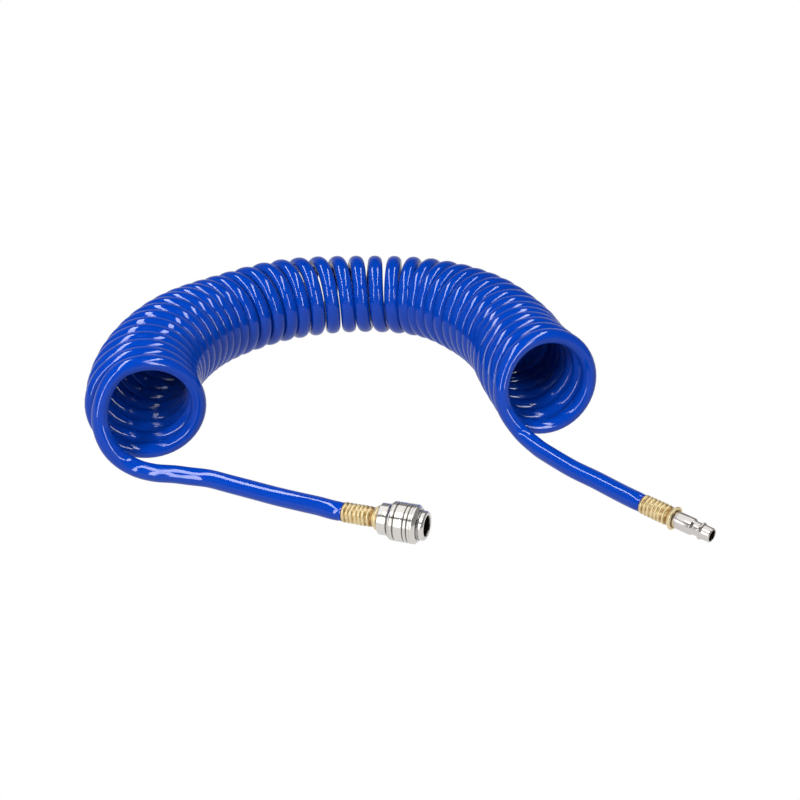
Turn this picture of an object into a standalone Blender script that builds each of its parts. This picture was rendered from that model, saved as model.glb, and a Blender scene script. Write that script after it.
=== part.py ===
"""Coiled air hose with a quick coupler at one end and a plug at the other.

Metres, +Z up. The hose lies on the ground as an arch: both ends point to -Y and
the middle of the arch is at +Y. Sizes below are in millimetres where a name ends
in _MM or a table says so, and mm() turns them into metres.
"""

import math

import bmesh
import bpy
from mathutils import Matrix, Vector

# ---------------------------------------------------------------- driving sizes

HOSE_R = 6.0            # mm, outside radius of the hose (8 mm bore, 12 mm outside)
GAP = 0.3               # mm, between pieces that touch
TOUCH = HOSE_R + GAP    # mm, from the end of the coil to the centre of the first free bit

# The coil's own centre line on the ground: turn number, x, y and outside diameter, mm.
COIL = [
    (-0.5, -153.2, -84.1, 81.6),
    (4.0, -167.4, -13.7, 75.8),
    (8.5, -156.8, 47.9, 73.2),
    (13.0, -128.3, 96.4, 68.6),
    (17.0, -81.7, 133.3, 68.1),
    (21.0, -22.7, 148.8, 65.3),
    (25.0, 36.6, 138.0, 67.2),
    (29.0, 76.6, 95.2, 72.1),
    (33.0, 99.2, 45.0, 73.3),
    (36.5, 107.5, 1.1, 75.0),
    (39.5, 118.3, -42.8, 79.7),
]
FIRST_TURN, LAST_TURN = -0.25, 39.25   # the free ends leave the coil at its left side

# Route of each free end from the coil to its ferrule, mm.
COUPLER_ROUTE = [
    (-183.6, -90.8, 41.0), (-178.4, -94.2, 22.0), (-171.7, -93.8, 12.5), (-162.4, -95.6, 7.5),
    (-149.9, -99.4, 6.2), (-135.4, -101.4, 6.2), (-126.5, -103.5, 6.2), (-112.9, -106.5, 6.2),
    (-98.4, -113.0, 6.2), (-81.7, -120.7, 6.2), (-65.4, -128.7, 6.5), (-49.3, -137.2, 7.8),
    (-38.0, -144.0, 9.4),
]
PLUG_ROUTE = [
    (84.0, -48.2, 35.4), (86.9, -49.5, 26.6), (90.1, -50.8, 21.1), (94.8, -52.5, 15.0),
    (98.8, -55.1, 11.0), (102.7, -58.9, 8.6), (106.5, -63.4, 7.2), (110.2, -68.8, 6.4),
    (113.8, -73.7, 6.2), (120.9, -83.6, 6.2), (128.2, -93.2, 6.2), (143.0, -109.1, 6.2),
    (155.9, -125.1, 6.7),
]

# Each fitting's ferrule mouth, mm, and the way it points: azimuth and rise, degrees.
COUPLER_AT, COUPLER_AIM = (-21.1, -153.5, 11.1), (-20.2, 2.5)
PLUG_AT, PLUG_AIM = (167.3, -139.3, 7.8), (-45.3, 0.0)

# Stations along a fitting, mm from the ferrule's mouth.
FERRULE_END = 23.6
COLLAR_BACK, COLLAR_FRONT = 24.6, 31.2
BODY_BACK, BODY_STEP, BODY_FRONT = 28.1, 31.5, 54.3
BALL_AT, BALL_R, BALL_COUNT = 43.4, 2.0, 6
BALL_REST, BALL_TRAVEL = 7.1, 1.12      # mm from the axis at rest, and outward
SLEEVE_BACK, SLEEVE_FRONT, SLEEVE_TRAVEL = 31.8, 49.8, 2.8
SLEEVE_R, BODY_R, SOCKET_R, TIP_R, BORE_R = 12.15, 8.6, 6.15, 4.6, 2.7
VALVE_SEAT, VALVE_TRAVEL = 33.9, 3.2
PLUG_TIP = 49.2

ROUND = 32              # sides of a turned piece


def mm(value):
    return value / 1000.0


# ---------------------------------------------------------------- scene and tools

for old in list(bpy.data.objects):
    bpy.data.objects.remove(old, do_unlink=True)

hose_set = bpy.data.collections.new("coiled_air_hose")
cutter_set = bpy.data.collections.new("cutters")
cutter_set.hide_render = True
for group in (hose_set, cutter_set):
    bpy.context.scene.collection.children.link(group)


def material(name, colour, metallic, roughness):
    made = bpy.data.materials.new(name)
    made.use_nodes = True
    shader = made.node_tree.nodes["Principled BSDF"]
    shader.inputs["Base Color"].default_value = (*colour, 1.0)
    shader.inputs["Metallic"].default_value = metallic
    shader.inputs["Roughness"].default_value = roughness
    made.diffuse_color = (*colour, 1.0)
    return made


BLUE = ((0.01, 0.07, 0.55), 0.0, 0.15)
BRASS = ((0.78, 0.56, 0.25), 1.0, 0.3)
NICKEL = ((0.78, 0.76, 0.74), 1.0, 0.12)
STEEL = ((0.55, 0.55, 0.56), 1.0, 0.25)
RUBBER = ((0.02, 0.02, 0.02), 0.0, 0.6)


def finish(obj, look):
    hose_set.objects.link(obj)
    obj.data.materials.append(material(obj.name, *look))
    return obj


def aimed(at, aim):
    """A frame whose +Z runs along the fitting, away from the hose."""
    azimuth, rise = (math.radians(a) for a in aim)
    along = Vector((math.cos(rise) * math.cos(azimuth), math.cos(rise) * math.sin(azimuth), math.sin(rise)))
    side = Vector((0, 0, 1)).cross(along).normalized()
    turn = Matrix((side, along.cross(side), along)).transposed().to_4x4()
    return Matrix.Translation(Vector(at) / 1000.0) @ turn


COUPLER = aimed(COUPLER_AT, COUPLER_AIM)
PLUG = aimed(PLUG_AT, PLUG_AIM)


def turned(name, place, outline, look, sides=ROUND):
    """A turned piece: outline is (radius, station) mm, clockwise, its outside running back from the front."""
    mesh = bpy.data.meshes.new(name)
    shape = bmesh.new()
    points = [shape.verts.new((mm(r), 0.0, mm(s))) for r, s in outline]
    closed = outline[0][0] > 0 and outline[-1][0] > 0
    for a, b in zip(points, points[1:] + (points[:1] if closed else [])):
        shape.edges.new((a, b))
    shape.to_mesh(mesh)
    shape.free()
    obj = bpy.data.objects.new(name, mesh)
    obj.matrix_world = place
    screw = obj.modifiers.new("turn", "SCREW")
    screw.axis = "Z"
    screw.steps = screw.render_steps = sides
    screw.use_merge_vertices = True
    screw.merge_threshold = 0.00001
    screw.use_normal_calculate = False
    return finish(obj, look) if look else obj


def ring(name, place, centre_r, station, wire_r, look):
    """A round-wire ring."""
    outline = [
        (centre_r + wire_r * math.cos(a), station - wire_r * math.sin(a))
        for a in (2 * math.pi * k / 10 for k in range(10))
    ]
    return turned(name, place, outline, look)


def as_cutter(obj):
    cutter_set.objects.link(obj)
    obj.hide_render = True
    obj.display_type = "WIRE"
    return obj


def cut(obj, cutter):
    boolean = obj.modifiers.new("cut_" + cutter.name, "BOOLEAN")
    boolean.operation = "DIFFERENCE"
    boolean.solver = "EXACT"
    boolean.object = cutter


def wire(name, points, radius_mm, look, rounder=2, scales=None):
    """A tube along points in metres, with filled ends."""
    curve = bpy.data.curves.new(name, "CURVE")
    curve.dimensions = "3D"
    curve.bevel_depth = mm(radius_mm)
    curve.bevel_resolution = rounder
    curve.use_fill_caps = True
    line = curve.splines.new("POLY")
    line.points.add(len(points) - 1)
    for k, point in enumerate(points):
        line.points[k].co = (*point, 1.0)
        line.points[k].radius = scales[k] if scales else 1.0
    return finish(bpy.data.objects.new(name, curve), look)


def smooth(knots, values, at):
    """Cubic through the values at the knots, its slopes from the neighbours on each side."""
    spans = [b - a for a, b in zip(knots, knots[1:])]
    rises = [(values[k + 1] - values[k]) / spans[k] for k in range(len(spans))]
    slopes = [
        (rises[k - 1] * spans[k] + rises[k] * spans[k - 1]) / (spans[k] + spans[k - 1])
        for k in range(1, len(spans))
    ]
    slopes = [2 * rises[0] - slopes[0], *slopes, 2 * rises[-1] - slopes[-1]]
    k = max(0, min(len(spans) - 1, sum(knot <= at for knot in knots) - 1))
    h = spans[k]
    u = (at - knots[k]) / h
    return (
        values[k] * (2 * u**3 - 3 * u**2 + 1)
        + values[k + 1] * (3 * u**2 - 2 * u**3)
        + h * slopes[k] * (u**3 - 2 * u**2 + u)
        + h * slopes[k + 1] * (u**3 - u**2)
    )


def through(route, steps):
    """Points in metres along a smooth curve through a route in mm, evenly spaced in length."""
    knots = [0.0]
    for a, b in zip(route, route[1:]):
        knots.append(knots[-1] + math.dist(a, b))
    columns = list(zip(*route))
    return [
        Vector([smooth(knots, c, knots[-1] * k / steps) for c in columns]) / 1000.0
        for k in range(steps + 1)
    ]


# ---------------------------------------------------------------- the hose

turns, coil_x, coil_y, coil_d = zip(*COIL)


def coil_centre(turn):
    """Centre of the coil at a turn number, and its outside radius, mm."""
    radius = smooth(turns, coil_d, turn) / 2
    return Vector((smooth(turns, coil_x, turn), smooth(turns, coil_y, turn), radius)), radius


def clear_of(turn, point, way):
    """The turn number, near this one, whose ring is just clear of a free end that starts at the point."""
    step = (coil_centre(turn + 0.01)[0] - coil_centre(turn - 0.01)[0]) / 0.02
    step.z = 0.0
    ahead = (Vector(point) - coil_centre(turn)[0]).dot(way * step.normalized())
    return turn - way * (TOUCH - ahead) / step.length


coil_start = clear_of(FIRST_TURN, COUPLER_ROUTE[0], -1)
coil_end = clear_of(LAST_TURN, PLUG_ROUTE[0], 1)
COIL_STEPS = 56
samples = [coil_centre(coil_start + (coil_end - coil_start) * k / COIL_STEPS) for k in range(COIL_STEPS + 1)]
wire(
    "hose_coil",
    [centre / 1000.0 for centre, _ in samples],
    33.0,
    BLUE,
    rounder=6,
    scales=[radius / 33.0 for _, radius in samples],
)

for name, route, place, steps in (
    ("hose_tail_coupler", COUPLER_ROUTE, COUPLER, 24),
    ("hose_tail_plug", PLUG_ROUTE, PLUG, 20),
):
    near, last = (place @ Vector((0, 0, mm(station))) for station in (-4.5, -1.3))
    wire(name, [*through([*route, tuple(1000.0 * near)], steps), last], HOSE_R, BLUE, rounder=3)

# ---------------------------------------------------------------- both fittings' hose ends

HOSE_END = [(5.2, 22.2), (5.2, 0.2), (5.9, -0.5), (5.9, -1.0), (4.0, -1.0), (4.0, 22.2)]
FERRULE = [
    (7.4, FERRULE_END), (7.7, FERRULE_END - 0.3), (7.7, FERRULE_END - 0.9), (7.2, FERRULE_END - 1.4),
    (6.3, 21.0), (6.2, 20.0), (6.45, 18.6), (6.65, 17.2), (6.5, 16.0), (6.2, 14.6), (6.15, 13.6),
    (6.45, 12.0), (6.6, 10.7), (6.4, 9.4), (6.1, 8.2), (6.1, 7.4), (6.4, 6.2), (6.5, 5.2), (6.3, 4.2),
    (6.05, 3.0), (6.2, 1.6), (6.25, 0.5), (6.0, 0.0),
    (5.5, 0.0), (5.5, FERRULE_END - 1.1), (5.0, FERRULE_END - 1.1), (5.0, FERRULE_END),
]
BARBS = [(3.2, 22.5)]
for tooth in range(5):
    back = 18.4 - 3.6 * tooth
    BARBS += [(3.7, back + 3.0), (3.15, back + 0.3)]
BARBS += [(3.3, 2.2), (3.1, 1.2), (BORE_R, 1.2)]

for end, place in (("coupler", COUPLER), ("plug", PLUG)):
    turned("hose_end_" + end, place, HOSE_END, BLUE)
    turned("ferrule_" + end, place, FERRULE, BRASS)

# ---------------------------------------------------------------- the coupler

stem = [
    (9.0, COLLAR_FRONT), (9.85, COLLAR_FRONT - 0.6), (9.85, COLLAR_BACK + 0.6), (9.3, COLLAR_BACK),
    (6.6, COLLAR_BACK), (6.6, FERRULE_END + GAP), (4.7, FERRULE_END + GAP), (4.7, 22.5), *BARBS,
    (BORE_R, 24.4), (5.2, 24.4), (5.2, 26.9), (7.5, 26.9), (7.5, COLLAR_FRONT),
]
turned("coupler_stem", COUPLER, stem, NICKEL)

turned("joint_seal", COUPLER, [(7.1, 27.8), (7.1, 27.2), (5.5, 27.2), (5.5, 27.8)], RUBBER)

body_outline = [
    (8.2, BODY_FRONT), (9.1, BODY_FRONT - 0.9), (9.1, 51.4), (8.1, 51.4), (8.1, 49.75), (BODY_R, 49.75),
    (BODY_R, BODY_STEP), (7.2, BODY_STEP), (7.2, BODY_BACK), (6.2, BODY_BACK), (6.2, VALVE_SEAT),
    (4.9, VALVE_SEAT), (4.9, 35.3), (6.5, 35.3), (6.5, 37.1), (4.9, 37.1), (4.9, 37.9),
    (SOCKET_R, 38.6), (SOCKET_R, BODY_FRONT - 0.8), (6.7, BODY_FRONT),
]
body = turned("coupler_body", COUPLER, body_outline, NICKEL, sides=40)

for k in range(BALL_COUNT):
    radial = Matrix.Rotation(2 * math.pi * (k + 0.5) / BALL_COUNT, 4, "Z") @ Matrix.Rotation(math.pi / 2, 4, "Y")
    outward = COUPLER @ Matrix.Translation((0, 0, mm(BALL_AT))) @ radial
    hole = [(0.0, 9.6), (2.2, 9.6), (2.2, 7.2), (1.82, 5.6), (0.0, 5.6)]
    cut(body, as_cutter(turned("ball_hole_%d" % (k + 1), outward, hole, None, sides=20)))
    mesh = bpy.data.meshes.new("lock_ball_%d" % (k + 1))
    ball = bmesh.new()
    bmesh.ops.create_uvsphere(ball, u_segments=14, v_segments=8, radius=mm(BALL_R))
    ball.to_mesh(mesh)
    ball.free()
    ball = bpy.data.objects.new(mesh.name, mesh)
    ball.matrix_world = outward @ Matrix.Translation((0, 0, mm(BALL_REST)))
    finish(ball, STEEL)

# The sleeve's inside is a cone over the balls, so pulling it back lets them out in step.
SLOPE = BALL_TRAVEL / SLEEVE_TRAVEL
cone_here = BALL_REST + (BALL_R + 0.05) / math.cos(math.atan(SLOPE))


def cone(station):
    return cone_here + SLOPE * (station - BALL_AT)


def groove(station, width, depth):
    """A square groove round the sleeve, its front edge at the station."""
    deep = SLEEVE_R - depth
    return [(SLEEVE_R, station), (deep, station - 0.15), (deep, station - width), (SLEEVE_R, station - width - 0.15)]


sleeve = [
    (9.3, SLEEVE_FRONT), (10.3, SLEEVE_FRONT), (SLEEVE_R, SLEEVE_FRONT - 2.1),
    *groove(46.4, 0.9, 0.4), *groove(44.2, 0.9, 0.4), *groove(38.2, 1.0, 0.55),
    (SLEEVE_R, SLEEVE_BACK + 1.4), (11.5, SLEEVE_BACK), (10.5, SLEEVE_BACK), (10.5, 40.6),
    (9.0, 40.6), (9.0, BALL_AT - 0.77), (10.6, BALL_AT + (10.6 - cone_here) / SLOPE), (10.6, 48.2),
    (8.9, 48.2), (8.9, SLEEVE_FRONT - 0.4),
]
turned("lock_sleeve", COUPLER, sleeve, NICKEL, sides=40)

ring("snap_ring", COUPLER, 8.95, 50.55, 0.55, STEEL)
ring("plug_seal", COUPLER, 5.4, 36.2, 0.85, RUBBER)


def spring(name, first, last, centre_r, wire_r, turn_count):
    """A compression spring between two stations, with one flat turn at each end."""
    per_turn = 14
    total = turn_count + 1.5
    points = []
    for k in range(int(total * per_turn) + 1):
        turn = k / per_turn
        rise = min(max((turn - 0.75) / (total - 1.5), 0.0), 1.0)
        flat = 1.15 * wire_r * (min(turn, 0.75) + max(turn - total + 0.75, 0.0)) / 0.75
        station = first + wire_r + flat + rise * (last - first - 2 * wire_r - 2.3 * wire_r)
        angle = 2 * math.pi * turn
        points.append(COUPLER @ Vector((mm(centre_r * math.cos(angle)), mm(centre_r * math.sin(angle)), mm(station))))
    wire(name, points, wire_r, STEEL, rounder=1)


spring("sleeve_spring", 31.5, 40.3, 9.4, 0.35, 3)
spring("valve_spring", 24.7, 30.2, 4.3, 0.28, 2.5)

poppet = turned(
    "valve_poppet",
    COUPLER,
    [
        (0.0, 33.6), (2.9, 33.6), (2.9, 36.4), (3.9, 36.4), (4.0, 36.3), (4.0, 32.5), (5.5, 32.5),
        (5.5, 30.5), (3.4, 30.5), (3.4, 28.4), (0.0, 28.4),
    ],
    NICKEL,
)
for k in range(2):
    mesh = bpy.data.meshes.new("crown_slot_%d" % (k + 1))
    slot = bmesh.new()
    bmesh.ops.create_cube(slot, size=1.0)
    bmesh.ops.scale(slot, vec=(mm(1.6), mm(12.0), mm(3.0)), verts=slot.verts)
    slot.to_mesh(mesh)
    slot.free()
    slot = bpy.data.objects.new(mesh.name, mesh)
    slot.matrix_world = COUPLER @ Matrix.Translation((0, 0, mm(35.8))) @ Matrix.Rotation(math.pi * k / 2, 4, "Z")
    cut(poppet, as_cutter(slot))
turned("valve_seal", COUPLER, [(5.6, 33.6), (5.6, 32.8), (4.3, 32.8), (4.3, 33.6)], RUBBER)

# ---------------------------------------------------------------- the plug

nipple = [
    (4.2, PLUG_TIP), (TIP_R, PLUG_TIP - 0.5), (TIP_R, 43.5), (5.35, 42.8), (5.6, 42.2), (5.35, 41.7),
    (4.4, 41.0), (4.4, 37.4), (5.5, 35.8), (5.5, 25.9), (5.2, 25.6), (5.2, FERRULE_END + GAP),
    (4.7, FERRULE_END + GAP), (4.7, 22.5), *BARBS, (BORE_R, 45.8), (3.4, 46.6), (3.4, PLUG_TIP - 0.4),
    (3.7, PLUG_TIP),
]
turned("plug_nipple", PLUG, nipple, NICKEL)
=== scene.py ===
"""Coiled air hose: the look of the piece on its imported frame. Metres, +Z up."""

import math

import bmesh
import bpy
from mathutils import Matrix, Vector


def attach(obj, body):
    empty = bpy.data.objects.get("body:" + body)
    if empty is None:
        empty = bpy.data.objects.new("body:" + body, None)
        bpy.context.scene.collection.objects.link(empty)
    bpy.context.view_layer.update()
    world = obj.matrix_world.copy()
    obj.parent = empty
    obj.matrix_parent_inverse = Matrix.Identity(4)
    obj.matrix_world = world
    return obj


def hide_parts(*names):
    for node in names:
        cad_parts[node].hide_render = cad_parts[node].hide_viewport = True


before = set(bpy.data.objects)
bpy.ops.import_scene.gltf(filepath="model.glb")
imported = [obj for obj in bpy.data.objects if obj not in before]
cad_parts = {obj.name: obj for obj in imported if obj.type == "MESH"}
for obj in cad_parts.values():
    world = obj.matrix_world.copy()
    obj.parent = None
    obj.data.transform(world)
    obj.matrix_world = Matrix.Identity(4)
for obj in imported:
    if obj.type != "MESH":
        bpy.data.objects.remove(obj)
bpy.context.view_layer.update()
scene = bpy.context.scene
scene.view_settings.view_transform = "Standard"


def mm(value):
    return value / 1000.0


# ---------------------------------------------------------------- camera

camera = bpy.data.objects.new("camera", bpy.data.cameras.new("camera"))
camera.data.lens = 48.68
camera.data.sensor_width = 36.0
camera.data.clip_start, camera.data.clip_end = 0.01, 30.0
camera.location = (0.0135, -0.7134, 0.3848)
camera.rotation_euler = (math.radians(90.0 - 27.81), 0.0, 0.0)
scene.collection.objects.link(camera)
scene.camera = camera

# ---------------------------------------------------------------- sizes, as the frame has them

# The coil at some turn numbers: (turn, x, y, diameter over the hose), mm. These rows, and most places
# in the two routes below, are the output of a fitting program.
COIL = [
    (-0.5, -153.2, -84.1, 81.6), (4.0, -167.4, -13.7, 75.8), (8.5, -156.8, 47.9, 73.2),
    (13.0, -128.3, 96.4, 68.6), (17.0, -81.7, 133.3, 68.1), (21.0, -22.7, 148.8, 65.3),
    (25.0, 36.6, 138.0, 67.2), (29.0, 76.6, 95.2, 72.1), (33.0, 99.2, 45.0, 73.3),
    (36.5, 107.5, 1.1, 75.0), (39.5, 118.3, -42.8, 79.7),
]
COUPLER_ROUTE = [
    (-183.6, -90.8, 41.0), (-178.4, -94.2, 22.0), (-171.7, -93.8, 12.5), (-162.4, -95.6, 7.5),
    (-149.9, -99.4, 6.2), (-135.4, -101.4, 6.2), (-126.5, -103.5, 6.2), (-112.9, -106.5, 6.2),
    (-98.4, -113.0, 6.2), (-81.7, -120.7, 6.2), (-65.4, -128.7, 6.5), (-49.3, -137.2, 7.8),
    (-38.0, -144.0, 9.4),
]
PLUG_ROUTE = [
    (84.0, -48.2, 35.4), (86.9, -49.5, 26.6), (90.1, -50.8, 21.1), (94.8, -52.5, 15.0),
    (98.8, -55.1, 11.0), (102.7, -58.9, 8.6), (106.5, -63.4, 7.2), (110.2, -68.8, 6.4),
    (113.8, -73.7, 6.2), (120.9, -83.6, 6.2), (128.2, -93.2, 6.2), (143.0, -109.1, 6.2),
    (155.9, -125.1, 6.7),
]
COUPLER_AT, COUPLER_AIM = (-21.1, -153.5, 11.1), (-20.2, 2.5)
PLUG_AT, PLUG_AIM = (167.3, -139.3, 7.8), (-45.3, 0.0)


def aimed(at, aim):
    """A frame whose +Z runs along the fitting, away from the hose."""
    azimuth, rise = (math.radians(a) for a in aim)
    level = math.cos(rise)
    along = Vector((level * math.cos(azimuth), level * math.sin(azimuth), math.sin(rise)))
    side = Vector((0, 0, 1)).cross(along).normalized()
    turn = Matrix((side, along.cross(side), along)).transposed().to_4x4()
    return Matrix.Translation(Vector(at) / 1000.0) @ turn


COUPLER = aimed(COUPLER_AT, COUPLER_AIM)
PLUG = aimed(PLUG_AT, PLUG_AIM)


def smooth(knots, values, at):
    """Cubic through the values at the knots, its slopes from the neighbours on each side."""
    spans = [b - a for a, b in zip(knots, knots[1:])]
    rises = [(values[k + 1] - values[k]) / spans[k] for k in range(len(spans))]
    slopes = [
        (rises[k - 1] * spans[k] + rises[k] * spans[k - 1]) / (spans[k] + spans[k - 1])
        for k in range(1, len(spans))
    ]
    slopes = [2 * rises[0] - slopes[0], *slopes, 2 * rises[-1] - slopes[-1]]
    k = max(0, min(len(spans) - 1, sum(knot <= at for knot in knots) - 1))
    h = spans[k]
    u = (at - knots[k]) / h
    return (
        values[k] * (2 * u**3 - 3 * u**2 + 1)
        + values[k + 1] * (3 * u**2 - 2 * u**3)
        + h * slopes[k] * (u**3 - 2 * u**2 + u)
        + h * slopes[k + 1] * (u**3 - u**2)
    )


def through(route, steps):
    """Points in mm along a smooth curve through a route in mm, evenly spaced in length."""
    knots = [0.0]
    for a, b in zip(route, route[1:]):
        knots.append(knots[-1] + math.dist(a, b))
    columns = list(zip(*route))
    lengths = [knots[-1] * k / steps for k in range(steps + 1)]
    return [Vector([smooth(knots, column, at) for column in columns]) for at in lengths]


# ---------------------------------------------------------------- the hose, one cord from end to end

turns, coil_x, coil_y, coil_d = zip(*COIL)

# Half sizes of the hose's section, mm, along the coil and out from it, and how square it is.
# The coil's turns are flatter than the free ends.
WOUND, FREE = (6.05, 5.0, 2.15), (6.1, 6.05, 2.0)
WOUND_FOR, FREE_AFTER = 35.0, 95.0    # mm from the coil over which one section turns into the other
GRIP, GRIP_FROM, GRIP_TO = 0.15, 0.5, 7.0    # the ferrule's squeeze, and mm from the end where it fades
LEAVES_AT, ENDS_AT = -0.05, 39.2    # turn numbers where the free ends leave the coil
LEAN, LEAN_FROM, LEAN_TO = 6.8, 33.0, 39.0    # mm that the last turns' tops lean back, and from which turn
BEFORE_FERRULE, INTO_FERRULE = -4.5, 3.0    # stations, mm, that straighten the hose at each fitting


def eased(value, low, high):
    u = min(max((value - low) / (high - low), 0.0), 1.0)
    return u * u * (3.0 - 2.0 * u)


def on_coil(turn):
    """The hose's centre at a turn number, mm, and the way out from the coil's axis."""
    x, y, d = (smooth(turns, column, turn) for column in (coil_x, coil_y, coil_d))
    next_x, next_y = (smooth(turns, column, turn + 0.01) for column in (coil_x, coil_y))
    ahead = Vector((next_x - x, next_y - y, 0.0)).normalized()
    angle = 2 * math.pi * turn
    out = math.cos(angle) * Vector((0, 0, 1)) + math.sin(angle) * Vector((ahead.y, -ahead.x, 0.0))
    back = LEAN * eased(turn, LEAN_FROM, LEAN_TO) * math.cos(angle)
    return Vector((x, y, d / 2 + 0.05)) + (d / 2 - WOUND[1]) * out - back * ahead, out


def at_station(place, station):
    return 1000.0 * (place @ Vector((0, 0, mm(station))))


PER_TURN = 52
LEAD = 0.12     # turns of the coil that steer each free end into it
wound_turns = ENDS_AT - LEAVES_AT - 2 * LEAD
steps = int(PER_TURN * wound_turns)
wound = [on_coil(LEAVES_AT + LEAD + wound_turns * k / steps) for k in range(steps + 1)]


def free_end(turn, way, route, place, count):
    """Points of one free end from the coil out to its fitting."""
    lead = [on_coil(turn + way * LEAD * k / 3)[0] for k in (3, 2, 1, 0)]
    ends = [at_station(place, BEFORE_FERRULE), at_station(place, 0.0)]
    return [*through([*lead, *map(Vector, route), *ends], count), at_station(place, INTO_FERRULE)]


coupler_end = free_end(LEAVES_AT, 1, COUPLER_ROUTE, COUPLER, 84)
plug_end = free_end(ENDS_AT, -1, PLUG_ROUTE, PLUG, 64)
line = [*coupler_end[:0:-1], *(point for point, _ in wound), *plug_end[1:]]


def along(k):
    return (line[min(k + 1, len(line) - 1)] - line[max(k - 1, 0)]).normalized()


# Each section's outward way: the coil's own while wound, then carried along the free ends.
first, last = len(coupler_end) - 1, len(line) - len(plug_end)
outward = [None] * len(line)
for k, (_, out) in enumerate(wound):
    outward[first + k] = out
for start, way in ((first, -1), (last, 1)):
    k = start + way
    while 0 <= k < len(line):
        turned = along(k - way).rotation_difference(along(k))
        outward[k] = turned @ outward[k - way]
        k += way

from_fitting = [0.0]
for a, b in zip(line, line[1:]):
    from_fitting.append(from_fitting[-1] + (b - a).length)


def section(k):
    """Half sizes and squareness at a point of the line."""
    away = max(from_fitting[first] - from_fitting[k], from_fitting[k] - from_fitting[last], 0.0)
    free = eased(away, WOUND_FOR, FREE_AFTER)
    to_end = min(from_fitting[k], from_fitting[-1] - from_fitting[k])
    squeeze = 1.0 - GRIP * (1.0 - eased(to_end, GRIP_FROM, GRIP_TO))
    a, b, n = (w + (f - w) * free for w, f in zip(WOUND, FREE))
    return squeeze * a, squeeze * b, n


AROUND = 32
hose_mesh = bpy.data.meshes.new("air_hose")
made = bmesh.new()
rings = []
for k, centre in enumerate(line):
    forward = along(k)
    side = forward.cross(outward[k]).normalized()
    out = side.cross(forward)
    a, b, n = section(k)
    ring = []
    for j in range(AROUND):
        angle = 2 * math.pi * (j + 0.5) / AROUND
        c, s = math.cos(angle), math.sin(angle)
        reach = (abs(c / a) ** n + abs(s / b) ** n) ** (-1 / n)
        ring.append(made.verts.new((centre + reach * (c * side + s * out)) / 1000.0))
    rings.append(ring)
for here, there in zip(rings, rings[1:]):
    for j in range(AROUND):
        after = (j + 1) % AROUND
        made.faces.new((here[j], here[after], there[after], there[j])).smooth = True
made.faces.new(rings[0][::-1])
made.faces.new(rings[-1])
bmesh.ops.recalc_face_normals(made, faces=made.faces)
made.to_mesh(hose_mesh)
made.free()
hose = bpy.data.objects.new("air_hose", hose_mesh)
scene.collection.objects.link(hose)
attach(hose, "hose")
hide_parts("hose_coil", "hose_tail_coupler", "hose_tail_plug")

# ---------------------------------------------------------------- materials


class Look:
    """A Principled material under construction: nodes and links by short calls."""

    def __init__(self, name, colour, roughness, metallic=0.0, **sockets):
        self.material = bpy.data.materials.new(name)
        self.material.use_nodes = True
        self.material.diffuse_color = (*colour, 1.0)
        self.nodes, self.links = self.material.node_tree.nodes, self.material.node_tree.links
        self.shader = self.nodes["Principled BSDF"]
        sockets = {"Base Color": (*colour, 1.0), "Roughness": roughness, "Metallic": metallic, **sockets}
        for name, value in sockets.items():
            self.shader.inputs[name].default_value = value

    def coordinates(self, scale=(1, 1, 1)):
        """Object coordinates, in metres, scaled."""
        where = self.nodes.new("ShaderNodeTexCoord")
        mapping = self.nodes.new("ShaderNodeMapping")
        mapping.inputs["Scale"].default_value = scale
        self.links.new(where.outputs["Object"], mapping.inputs["Vector"])
        return mapping.outputs["Vector"]

    def noise(self, vector, scale, detail):
        made = self.nodes.new("ShaderNodeTexNoise")
        made.inputs["Scale"].default_value = scale
        made.inputs["Detail"].default_value = detail
        self.links.new(vector, made.inputs["Vector"])
        return made.outputs["Fac"]

    def spread(self, value, low, high, from_low=0.3, from_high=0.7):
        """The value's span, from_low to from_high, stretched to low to high."""
        made = self.nodes.new("ShaderNodeMapRange")
        for socket, number in (
            ("From Min", from_low), ("From Max", from_high), ("To Min", low), ("To Max", high),
        ):
            made.inputs[socket].default_value = number
        self.links.new(value, made.inputs["Value"])
        return made.outputs["Result"]

    def tint(self, value, *stops):
        ramp = self.nodes.new("ShaderNodeValToRGB")
        while len(ramp.color_ramp.elements) < len(stops):
            ramp.color_ramp.elements.new(0.5)
        for element, (position, colour) in zip(ramp.color_ramp.elements, stops):
            element.position, element.color = position, (*colour, 1.0)
        self.links.new(value, ramp.inputs["Fac"])
        self.links.new(ramp.outputs["Color"], self.shader.inputs["Base Color"])

    def roughen(self, value):
        self.links.new(value, self.shader.inputs["Roughness"])

    def radius(self):
        """Distance from the piece's own axis, mm."""
        flat = self.nodes.new("ShaderNodeVectorMath")
        flat.operation = "LENGTH"
        self.links.new(self.coordinates((1000.0, 1000.0, 0.0)), flat.inputs[0])
        return flat.outputs["Value"]

    def station(self):
        """Distance along the piece's own axis, mm."""
        parts = self.nodes.new("ShaderNodeSeparateXYZ")
        self.links.new(self.coordinates((1000.0, 1000.0, 1000.0)), parts.inputs[0])
        return parts.outputs["Z"]

    def larger(self, one, other):
        made = self.nodes.new("ShaderNodeMath")
        made.operation = "MAXIMUM"
        self.links.new(one, made.inputs[0])
        self.links.new(other, made.inputs[1])
        return made.outputs["Value"]

    def bump(self, value, distance, strength):
        made = self.nodes.new("ShaderNodeBump")
        made.inputs["Distance"].default_value = distance
        made.inputs["Strength"].default_value = strength
        self.links.new(value, made.inputs["Height"])
        self.links.new(made.outputs["Normal"], self.shader.inputs["Normal"])


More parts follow.
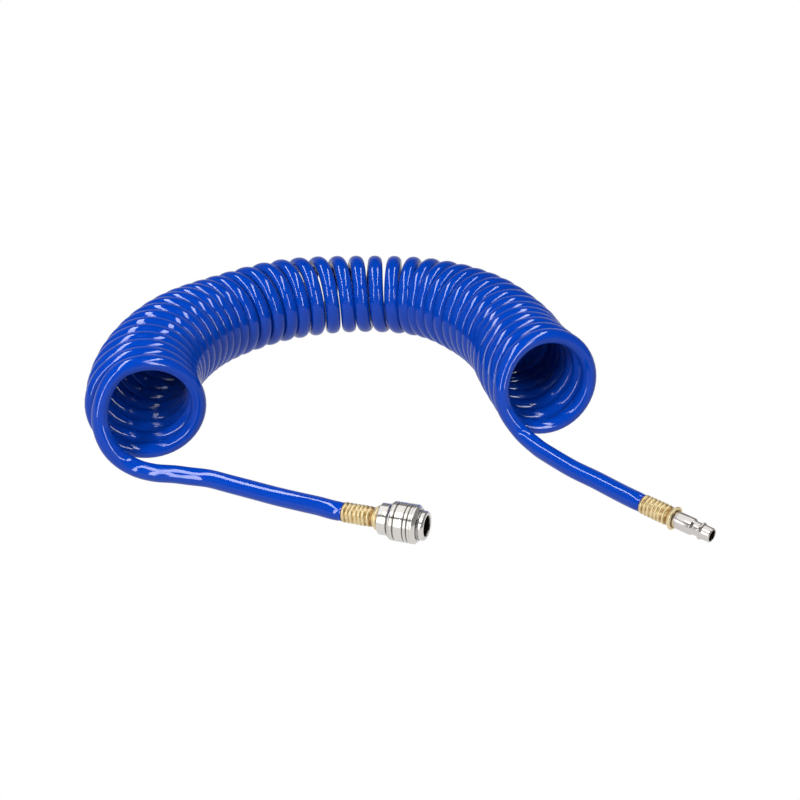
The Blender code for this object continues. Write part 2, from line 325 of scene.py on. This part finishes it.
def hose_look():
    look = Look("hose_polyurethane", (0.0003, 0.034, 0.30), 0.07, IOR=1.4)
    where = look.coordinates()
    look.tint(
        look.noise(where, 18.0, 2.0),
        (0.3, (0.0002, 0.032, 0.29)), (0.7, (0.0004, 0.036, 0.31)),
    )
    look.roughen(look.spread(look.noise(where, 60.0, 2.0), 0.05, 0.08))
    return look.material


def brass_look():
    """Brass, with painted shade in the crimped valleys: brown there and bright on the ridges."""
    look = Look("brass_crimped_valley_shade", (0.83, 0.66, 0.36), 0.3, 0.8)
    # Painted shade: the colour runs from dark brown at radius 6.0 mm, in the crimp valleys, to bright brass
    # at 6.5 mm on the ridges.
    look.tint(
        look.spread(look.radius(), 0.0, 1.0, 6.0, 6.5),
        (0.0, (0.34, 0.19, 0.06)), (0.35, (0.76, 0.56, 0.26)), (0.9, (0.92, 0.76, 0.44)),
    )
    look.roughen(look.spread(look.noise(look.coordinates(), 300.0, 2.0), 0.24, 0.34))
    return look.material


NICKEL, PLATED = (0.93, 0.90, 0.86), (0.13, 0.17)
# Painted shade: the dark colour painted into bores, where little light reaches.
PAINTED_BORE_SHADE = (0.10, 0.085, 0.07)


def turned_metal(name, colour, roughness, dark_under=None, dark_behind=1000.0, dark=PAINTED_BORE_SHADE):
    """Metal off a lathe, finely ringed: roughness is its (low, high).

    It carries painted shade, the colour dark, wherever it is both nearer the axis than dark_under and
    behind the station dark_behind, mm.
    """
    low, high = roughness
    look = Look(name, colour, (low + high) / 2, 0.95)
    look.roughen(look.spread(look.noise(look.coordinates((4.0, 4.0, 700.0)), 1.0, 2.0), low, high))
    # Painted shade: near the axis and behind the station the colour goes over to dark.
    if dark_under:
        outside = look.spread(look.radius(), 0.0, 1.0, dark_under, dark_under + 0.4)
        ahead = look.spread(look.station(), 0.0, 1.0, dark_behind, dark_behind + 0.3)
        look.tint(look.larger(outside, ahead), (0.0, dark), (1.0, colour))
    else:
        look.tint(
            look.noise(look.coordinates(), 120.0, 3.0),
            (0.3, tuple(0.97 * c for c in colour)), (0.7, tuple(1.02 * c for c in colour)),
        )
    return look.material


def rubber_look():
    look = Look("seal_rubber", (0.02, 0.02, 0.02), 0.55)
    where = look.coordinates()
    look.roughen(look.spread(look.noise(where, 900.0, 3.0), 0.45, 0.7))
    look.bump(look.noise(where, 2500.0, 2.0), 0.00003, 0.4)
    return look.material


blue, brass, rubber = hose_look(), brass_look(), rubber_look()
nickel = turned_metal("nickel_plate", NICKEL, PLATED)
# Painted shade in the coupler body's bore: dark where the radius is under 6.3 mm.
socket = turned_metal("nickel_socket_bore_shade", NICKEL, PLATED, dark_under=6.3)
# Painted shade in the sleeve's deep grooves and inside it: dark grey where the radius is under 11.5 mm,
# behind station 47.4.
grooved = turned_metal(
    "nickel_groove_shade", NICKEL, PLATED, dark_under=11.5, dark_behind=47.4, dark=(0.32, 0.30, 0.28)
)
# Painted shade in the nipple's bore: dark where the radius is under 3.4 mm.
tip = turned_metal("nickel_tip_bore_shade", (0.85, 0.81, 0.78), PLATED, dark_under=3.4)
steel = turned_metal("spring_steel", (0.56, 0.56, 0.57), (0.15, 0.3))
hose_mesh.materials.append(blue)

# ---------------------------------------------------------------- turned pieces


def lathe(name, place, outline, look, body, node, sides=96, shape=None, sharp=12.0):
    """A turned piece: outline is (radius, station) mm, its outside running back from the front.

    shape(radius, station, angle) adds to the radius, mm, and an edge bent more than sharp degrees
    is drawn sharp.
    """
    mesh = bpy.data.meshes.new(name)
    made = bmesh.new()
    rows = []
    for r, s in outline:
        if r == 0:
            rows.append([made.verts.new((0, 0, mm(s)))] * sides)
            continue
        row = []
        for k in range(sides):
            angle = 2 * math.pi * k / sides
            out = r + (shape(r, s, angle) if shape else 0.0)
            x, y = out * math.cos(angle), out * math.sin(angle)
            row.append(made.verts.new((mm(x), mm(y), mm(s))))
        rows.append(row)
    for upper, lower in zip(rows, rows[1:] + rows[:1]):
        for k in range(sides):
            after = (k + 1) % sides
            corners = [upper[k], lower[k], lower[after], upper[after]]
            corners = [c for i, c in enumerate(corners) if c not in corners[:i]]
            if len(corners) > 2:
                made.faces.new(corners)
    bmesh.ops.recalc_face_normals(made, faces=made.faces)
    for face in made.faces:
        face.smooth = True
    for edge in made.edges:
        if len(edge.link_faces) == 2 and edge.calc_face_angle() > math.radians(sharp):
            edge.smooth = False
    made.to_mesh(mesh)
    made.free()
    mesh.materials.append(look)
    piece = bpy.data.objects.new(name, mesh)
    piece.matrix_world = place
    scene.collection.objects.link(piece)
    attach(piece, body)
    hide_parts(node)
    return piece


def rounded(outline, radius=0.12):
    """The outline with each corner that turns sharply cut back to a small two-step round."""
    out = []
    for k, (r, s) in enumerate(outline):
        before, after = Vector(outline[k - 1]), Vector(outline[(k + 1) % len(outline)])
        here = Vector((r, s))
        a, b = before - here, after - here
        if a.length < 1e-6 or b.length < 1e-6 or a.angle(b) > math.radians(150):
            out.append((r, s))
            continue
        cut = min(radius, 0.4 * a.length, 0.4 * b.length)
        start, stop = here + a.normalized() * cut, here + b.normalized() * cut
        middle = (start + stop) / 4 + here / 2
        out += [tuple(start), tuple(middle), tuple(stop)]
    return out


# ---------------------------------------------------------------- crimped ferrules

FERRULE_END, CRIMPED_TO = 23.6, 20.3
RIDGES = (1.3, 4.1, 6.6, 9.6, 12.1, 14.6, 17.6)    # stations the crimping jaws left standing
VALLEY_R, RIDGE_HIGH, RIDGE_WIDE = 5.98, 0.42, 0.7


def ferrule(name, place, node, seed):
    outside = [
        (7.35, FERRULE_END), (7.65, 23.3), (7.7, 22.9), (7.6, 22.4), (7.1, 21.9), (6.55, 21.3), (6.25, 20.7),
    ]
    for k in range(102):
        station = CRIMPED_TO - 0.2 * k
        near = min(abs(station - ridge) for ridge in RIDGES)
        swell = 0.12 * math.sin(math.pi * station / CRIMPED_TO)
        rise = RIDGE_HIGH * math.exp(-((near / RIDGE_WIDE) ** 2))
        outside.append((VALLEY_R + swell + rise, max(station, 0.1)))
    outside.append((5.95, 0.0))

    def crimp(r, s, angle):
        if r < 5.9 or s > 21.5:
            return 0.0
        jaws = 0.05 * math.cos(6 * angle + seed + 0.4 * s)
        dents = 0.04 * math.sin(5 * angle + 1.3 * s + seed) * math.sin(3 * angle - 0.9 * s + 2 * seed)
        return jaws + dents

    inside = [(5.5, 0.0), (5.5, FERRULE_END - 1.1), (5.0, FERRULE_END - 1.1), (5.0, FERRULE_END)]
    return lathe(
        name, place, outside + inside, brass, "hose", node, sides=120, shape=crimp, sharp=40.0
    )


coupler_ferrule = ferrule("crimped_ferrule_coupler", COUPLER, "ferrule_coupler", 0.4)
plug_ferrule = ferrule("crimped_ferrule_plug", PLUG, "ferrule_plug", 2.1)

# ---------------------------------------------------------------- the coupler

BARBS = [(3.2, 22.5)]
for tooth in range(5):
    back = 18.4 - 3.6 * tooth
    BARBS += [(3.7, back + 3.0), (3.15, back + 0.3)]
BARBS += [(3.3, 2.2), (3.1, 1.2), (2.7, 1.2)]

stem = lathe(
    "coupler_stem_turned", COUPLER,
    rounded([
        (9.0, 31.2), (9.85, 30.6), (9.85, 25.2), (9.3, 24.6), (6.6, 24.6), (6.6, 23.9), (4.7, 23.9),
        (4.7, 22.5), *BARBS, (2.7, 24.4), (5.2, 24.4), (5.2, 26.9), (7.5, 26.9), (7.5, 31.2),
    ]),
    nickel, "hose", "coupler_stem",
)
body = lathe(
    "coupler_body_turned", COUPLER,
    rounded([
        (8.2, 54.3), (9.1, 53.4), (9.1, 51.4), (8.1, 51.4), (8.1, 49.75), (8.6, 49.75), (8.6, 31.5),
        (7.2, 31.5), (7.2, 28.1), (6.2, 28.1), (6.2, 33.9), (4.9, 33.9), (4.9, 35.3), (6.5, 35.3),
        (6.5, 37.1), (4.9, 37.1), (4.9, 37.9), (6.15, 38.6), (6.15, 53.5), (6.7, 54.3),
    ]),
    socket, "hose", "coupler_body",
)


SLEEVE_R = 12.15


def groove(station, half, depth):
    """A V groove round the sleeve, its middle at the station."""
    return [
        (SLEEVE_R, station + half), (SLEEVE_R - depth, station + 0.1), (SLEEVE_R - depth, station - 0.1),
        (SLEEVE_R, station - half),
    ]


sleeve = lathe(
    "lock_sleeve_turned", COUPLER,
    rounded([
        (9.3, 49.8), (10.3, 49.8), (12.0, 48.3), (SLEEVE_R, 47.9), *groove(46.7, 0.35, 0.35),
        *groove(44.7, 0.6, 0.8), *groove(42.2, 0.6, 0.8), *groove(35.9, 0.7, 0.9), *groove(33.6, 0.35, 0.4),
        (12.0, 32.9), (11.2, 31.8), (10.5, 31.8), (10.5, 40.6), (9.0, 40.6), (9.0, 42.63), (10.6, 46.63),
        (10.6, 48.2), (8.9, 48.2), (8.9, 49.4),
    ], 0.08),
    grooved, "sleeve", "lock_sleeve",
)

# ---------------------------------------------------------------- the plug

nipple = lathe(
    "plug_nipple_turned", PLUG,
    rounded([
        (4.2, 49.2), (4.6, 48.7), (4.6, 43.5), (5.35, 42.8), (5.6, 42.2), (5.35, 41.7), (4.4, 41.0),
        (4.4, 37.4), (5.5, 35.8), (5.5, 25.9), (5.2, 25.6), (5.2, 23.9), (4.7, 23.9), (4.7, 22.5), *BARBS,
        (2.7, 45.8), (3.4, 46.6), (3.4, 48.8), (3.7, 49.2),
    ]),
    tip, "hose", "plug_nipple",
)

# ---------------------------------------------------------------- frame pieces that stay

for node, look in {
    "hose_end_coupler": blue, "hose_end_plug": blue,
    "joint_seal": rubber, "plug_seal": rubber, "valve_seal": rubber,
    "sleeve_spring": steel, "valve_spring": steel, "snap_ring": steel, "valve_poppet": nickel,
    **{"lock_ball_%d" % (k + 1): steel for k in range(6)},
}.items():
    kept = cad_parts[node]
    kept.data.materials.clear()
    kept.data.materials.append(look)

# ---------------------------------------------------------------- floor, light and surroundings


def glowing(name, brightness):
    """A surface that only shines."""
    made = bpy.data.materials.new(name)
    made.use_nodes = True
    made.node_tree.nodes.clear()
    shine = made.node_tree.nodes.new("ShaderNodeEmission")
    shine.inputs["Color"].default_value = (1, 1, 1, 1)
    shine.inputs["Strength"].default_value = brightness
    out = made.node_tree.nodes.new("ShaderNodeOutputMaterial")
    made.node_tree.links.new(shine.outputs["Emission"], out.inputs["Surface"])
    return made


lit = {}
for name, pieces in (
    ("hose_lit", [hose]), ("metal_lit", [coupler_ferrule, plug_ferrule, stem, body, sleeve, nipple]),
):
    lit[name] = bpy.data.collections.new(name)
    for piece in pieces:
        lit[name].objects.link(piece)
for node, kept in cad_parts.items():
    lit["hose_lit" if node.startswith("hose") else "metal_lit"].objects.link(kept)


def staged(name, mesh, brightness, height, seen_by):
    """Part of the surroundings, seen by one kind of ray: camera, diffuse or glossy."""
    mesh.materials.append(glowing(name, brightness))
    made = bpy.data.objects.new(name, mesh)
    made.location.z = height
    made.visible_camera, made.visible_diffuse, made.visible_glossy = (
        seen_by == kind for kind in ("camera", "diffuse", "glossy")
    )
    made.visible_transmission = made.visible_shadow = False
    scene.collection.objects.link(made)


def sheet_mesh(name, half):
    mesh = bpy.data.meshes.new(name)
    corners = [(-half, -half, 0), (half, -half, 0), (half, half, 0), (-half, half, 0)]
    mesh.from_pydata(corners, [], [(0, 1, 2, 3)])
    return mesh


def dome_mesh(name, radius):
    mesh = bpy.data.meshes.new(name)
    made = bmesh.new()
    bmesh.ops.create_uvsphere(made, u_segments=32, v_segments=16, radius=radius)
    made.to_mesh(mesh)
    made.free()
    return mesh


def lamp(name, at, towards, size, brightness, seen_by, lights=None, turned=0.0):
    """A rectangular light, (across, along), for matt or for shiny surfaces, and for all or one set.

    brightness is that of the panel's face, and turned is its turn about its own normal, degrees.
    """
    light = bpy.data.lights.new(name, "AREA")
    light.shape = "RECTANGLE"
    light.size, light.size_y = size
    light.energy = math.pi * size[0] * size[1] * brightness
    made = bpy.data.objects.new(name, light)
    facing = (Vector(at) - Vector(towards)).normalized()
    up = Vector((0, 0, 1) if abs(facing.z) < 0.6 else (0, 1, 0))
    side = up.cross(facing).normalized()
    turn = Matrix((side, facing.cross(side), facing)).transposed().to_4x4()
    made.matrix_world = Matrix.Translation(at) @ turn @ Matrix.Rotation(math.radians(turned), 4, "Z")
    made.visible_diffuse, made.visible_glossy = seen_by == "matt", seen_by == "gloss"
    if lights:
        made.light_linking.receiver_collection = lit[lights]
    scene.collection.objects.link(made)


staged("white_floor", sheet_mesh("white_floor", 8.0), 1.0, -0.0003, "camera")
staged("white_room", dome_mesh("white_room", 12.0), 1.0, 0.0, "camera")
staged("table_bounce", sheet_mesh("table_bounce", 3.0), 1.05, -0.0005, "diffuse")
staged("table_sheen", sheet_mesh("table_sheen", 3.0), 0.66, -0.0007, "glossy")

# Bright narrow panels for the gloss of the hose: a pair upright in front, a pair overhead that run
# from front to back, and a low one behind.
PANEL_BRIGHT = 14.0
for name, round_to, over in (("left", -36.0, (-0.55, -0.1, 0.9)), ("right", 32.0, (0.37, -0.1, 1.1))):
    azimuth, rise, far = math.radians(round_to), math.radians(19.5), 1.3
    level = math.cos(rise)
    at = Vector((math.sin(azimuth) * level, -math.cos(azimuth) * level, math.sin(rise))) * far
    lamp("front_panel_" + name, at, (0, 0, 0.03), (0.2, 1.0), PANEL_BRIGHT, "gloss", "hose_lit")
    lamp("overhead_panel_" + name, over, (0, -0.1, 0.03), (0.18, 1.35), PANEL_BRIGHT, "gloss", "hose_lit")
lamp("back_panel", (0.0, 1.6, 0.35), (0.0, 0.0, 0.35), (3.2, 0.7), 0.25, "gloss", "hose_lit")

# Broad panels, about as bright as paper, for the plated and brass pieces.
lamp("metal_ceiling", (0.0, 0.6, 1.6), (0.0, 0.6, 0.0), (4.0, 2.6), 0.85, "gloss", "metal_lit")
lamp(
    "metal_overhead", (-0.44, -0.49, 1.06), (-0.44, -0.49, 0.0), (0.36, 0.66), 1.5,
    "gloss", "metal_lit", -25.3,
)
lamp("metal_side", (-1.5, -0.1, 0.45), (0.0, -0.1, 0.45), (1.6, 0.85), 1.25, "gloss", "metal_lit")
lamp("metal_front", (-0.76, -1.0, 0.42), (0, 0, 0.03), (0.5, 0.9), 1.6, "gloss", "metal_lit")

lamp("front_light_left", (-0.65, -1.0, 0.95), (0, 0, 0.03), (0.4, 0.4), 44.0, "matt")
lamp("front_light_right", (0.65, -1.0, 0.95), (0, 0, 0.03), (0.4, 0.4), 15.0, "matt")
lamp("top_light", (0.0, -0.1, 1.3), (0, 0, 0.03), (0.5, 0.5), 16.0, "matt")

world = bpy.data.worlds.new("studio")
world.use_nodes = True
scene.world = world
sky = world.node_tree.nodes["Background"]
sky.inputs["Strength"].default_value = 1.0
where = world.node_tree.nodes.new("ShaderNodeTexCoord")
axes = world.node_tree.nodes.new("ShaderNodeSeparateXYZ")
ramp = world.node_tree.nodes.new("ShaderNodeValToRGB")
for element, (position, grey) in zip(ramp.color_ramp.elements, ((0.4, 0.16), (0.75, 0.01))):
    element.position, element.color = position, (grey, grey, grey, 1)
world.node_tree.links.new(where.outputs["Generated"], axes.inputs["Vector"])
world.node_tree.links.new(axes.outputs["Z"], ramp.inputs["Fac"])
world.node_tree.links.new(ramp.outputs["Color"], sky.inputs["Color"])

bpy.context.view_layer.update()
